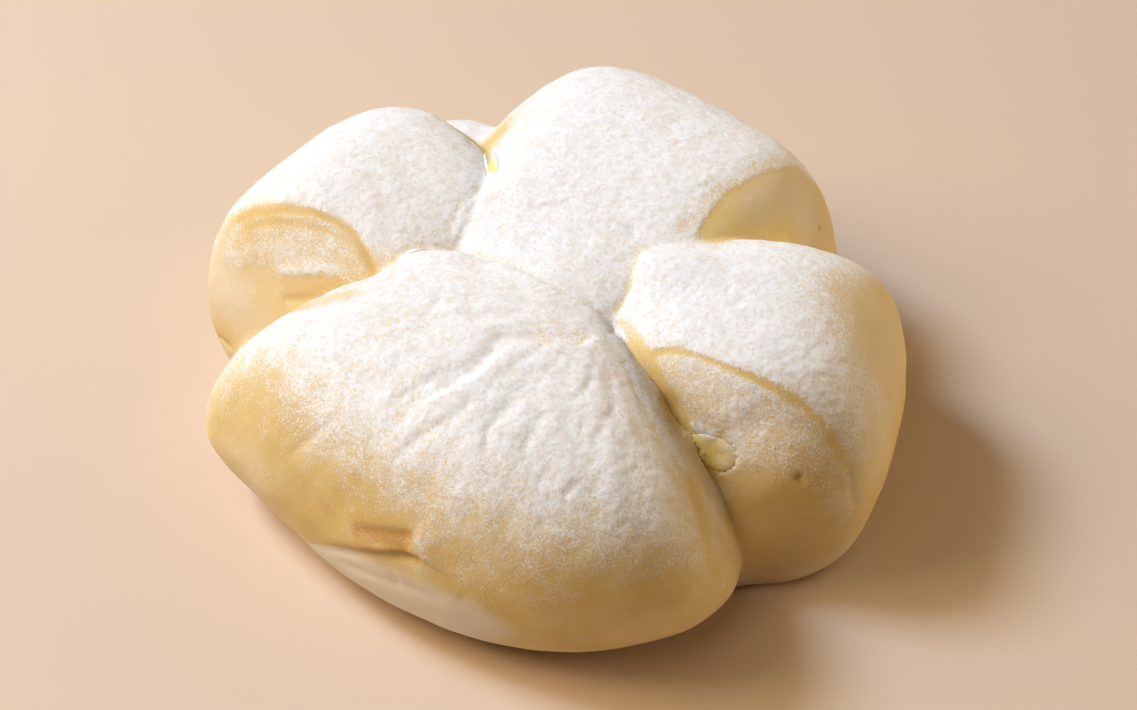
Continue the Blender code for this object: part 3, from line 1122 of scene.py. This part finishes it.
def dusted(nodes, under):
    """This colour with powder on it, in speckles; sets colour, roughness and relief."""
    powder = nodes.attribute("powder")
    clump = nodes.noise(CLUMP_SIZE)
    least = nodes.math("SUBTRACT", powder, CLUMP_SWING / 2)
    cover = speckles(nodes, nodes.math("MULTIPLY_ADD", clump, CLUMP_SWING, least))
    haze = nodes.math("MULTIPLY", nodes.ramp(powder, *HAZE_FROM), HAZE)
    above = nodes.math("MULTIPLY", cover, nodes.math("SUBTRACT", 1.0, haze))
    cover = nodes.math("ADD", haze, above)
    # Cream in the clumps' hollows and in the fine grit: partly painted shade of the powder's lumps.
    white = nodes.mix(nodes.ramp(clump, *CLUMP_CREAM_AND_SHADE), POWDER_CREAM_AND_SHADE, POWDER_WHITE)
    white = nodes.mix(nodes.ramp(nodes.noise(GRIT_SIZE, 1.0), *GRIT_CREAM_AND_SHADE), POWDER_CREAM_AND_SHADE, white)
    nodes.link(nodes.mix(cover, under, white), nodes.shader.inputs["Base Color"])
    roughness = nodes.ramp(cover, 0.0, 1.0, *DUSTED_ROUGHNESS)
    nodes.link(roughness, nodes.shader.inputs["Roughness"])
    lumps = nodes.math("MULTIPLY", nodes.noise(*LUMP_NOISE), nodes.ramp(powder, *LUMPS_FROM))
    height = nodes.math("MULTIPLY_ADD", cover, SPECKLE_HEIGHT, lumps)
    nodes.link(nodes.bump(height, LUMP_DEPTH), nodes.shader.inputs["Normal"])


def crust_material():
    """Crust from pale to gold to toasted, with painted light and painted shade in places, under the
    powder.
    """
    new = plain_material("crust", CRUST_GOLD, ROUGHNESS["crust"])
    nodes = Nodes(new)
    patches = nodes.ramp(nodes.noise(CRUST_PATCHES, 3), *MILD)
    crust = nodes.mix(patches, CRUST_GOLD, CRUST_DEEP)
    crust = nodes.mix(nodes.attribute("pale_and_light"), crust, CRUST_PALE_AND_LIGHT)
    crust = nodes.mix(nodes.attribute("toast_and_shade"), crust, CRUST_TOAST_AND_SHADE)
    crust = nodes.mix(nodes.attribute("tint"), crust, CUSTARD_STAIN)
    dusted(nodes, crust)
    nodes.shader.inputs["Specular IOR Level"].default_value = CRUST_GLOSS
    nodes.subsurface(*CRUST_DEPTH)
    return new


def powder_material():
    new = plain_material("powder", POWDER_WHITE, ROUGHNESS["powder"])
    nodes = Nodes(new)
    patches = nodes.ramp(nodes.noise(GRAIN_PATCHES), *BROAD)
    white = nodes.mix(patches, POWDER_CREAM_AND_SHADE, POWDER_WHITE)
    nodes.link(white, nodes.shader.inputs["Base Color"])
    nodes.shader.inputs["Specular IOR Level"].default_value = POWDER_GLOSS
    return new


def custard_material():
    """Custard, duller at its rim, where the dough has taken it up."""
    new = plain_material("custard", CUSTARD_STAIN, ROUGHNESS["custard"])
    nodes = Nodes(new)
    patches = nodes.ramp(nodes.noise(CUSTARD_PATCHES, 3), *MILD)
    thick = nodes.mix(patches, CUSTARD_DEEP, CUSTARD_LIGHT)
    thick = nodes.mix(nodes.attribute("rim"), thick, CUSTARD_STAIN)
    thick = nodes.mix(nodes.attribute("toast_and_shade"), thick, CRUST_TOAST_AND_SHADE)
    dusted(nodes, thick)
    nodes.subsurface(*CUSTARD_DEPTH)
    return new


# Stage ------------
FLOOR_SIZE = 6  # m
CAMERA_CLIP = 0.01  # m


class Light(NamedTuple):
    """A soft light that looks at the bread."""

    heading: float  # degrees
    lean: float  # degrees above the floor
    distance: float  # m
    size: tuple  # across and up, m
    power: float  # W
    colour: tuple


KEY_COLOUR = (0.57, 0.74, 1.0)
FILL_COLOUR = (1.0, 0.79, 0.51)
LIGHTS = {  # a cool key from the left and behind, and broad warm lights
    "key": Light(155, 49, 1.2, (0.37, 0.37), 13.5, KEY_COLOUR),
    "left": Light(180, 45, 0.8, (0.4, 0.64), 4.15, FILL_COLOUR),
    "front": Light(235, 65, 1.0, (0.6, 0.6), 1.5, FILL_COLOUR),
    "right": Light(0, 12, 1.0, (0.4, 0.35), 2.2, FILL_COLOUR),
    "right_back": Light(38, 16, 1.0, (0.6, 0.35), 2.6, FILL_COLOUR),
}
ROOM_COLOUR = (1.0, 0.77, 0.5)
ROOM_LOW, ROOM_HIGH = 0.02, 0.03  # at the horizon and overhead


def make_floor():
    bpy.ops.mesh.primitive_plane_add(size=FLOOR_SIZE)
    floor = bpy.context.object
    floor.name = "floor"
    finish = plain_material("floor_finish", FLOOR_COLOUR, ROUGHNESS["floor"])
    floor.data.materials.append(finish)


def make_camera():
    data = bpy.data.cameras.new("camera")
    data.lens = CAMERA_LENS
    data.sensor_width = CAMERA_SENSOR
    data.clip_start = CAMERA_CLIP
    camera = new_object("camera", data)
    back = camera_axes()[2]
    camera.location = (CAMERA_AIM + back * CAMERA_DISTANCE) * MM
    camera.rotation_euler = back.to_track_quat("Z", "Y").to_euler()
    bpy.context.scene.camera = camera


def area_light(name, light):
    data = bpy.data.lights.new(name, "AREA")
    data.shape = "ELLIPSE"
    data.size, data.size_y = light.size
    data.energy = light.power
    data.color = light.colour
    lamp = new_object(name, data)
    away = Vector(unit(light.heading, light.lean))
    lamp.location = away * light.distance
    lamp.rotation_euler = away.to_track_quat("Z", "Y").to_euler()


def make_room():
    """A dim warm room round the bread, a little brighter overhead."""
    world = bpy.data.worlds.new("studio")
    world.use_nodes = True
    nodes = Nodes(world, "Background")
    upward = nodes.new("SeparateXYZ", "Z", {0: nodes.position("Generated")})
    strength = {"Value": upward, "To Min": ROOM_LOW, "To Max": ROOM_HIGH}
    nodes.link(nodes.new("MapRange", "Result", strength), nodes.shader.inputs["Strength"])
    nodes.shader.inputs["Color"].default_value = (*ROOM_COLOUR, 1)
    bpy.context.scene.world = world
    bpy.context.scene.view_settings.view_transform = "Standard"


def main():
    make_camera()
    for name, light in LIGHTS.items():
        area_light(name, light)
    make_room()
    make_floor()
    bread, surface, powder = make_bread()
    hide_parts("bread_dough")
    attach(bread, "root")
    custard = make_custard(surface.tree)
    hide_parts("custard_filling")
    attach(custard, "root")
    dusting = powder_material()
    for name, grains in GRAINS.items():
        piece = make_grains(name, grains, bread, powder)
        piece.data.materials.append(dusting)
        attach(piece, "root")


main()
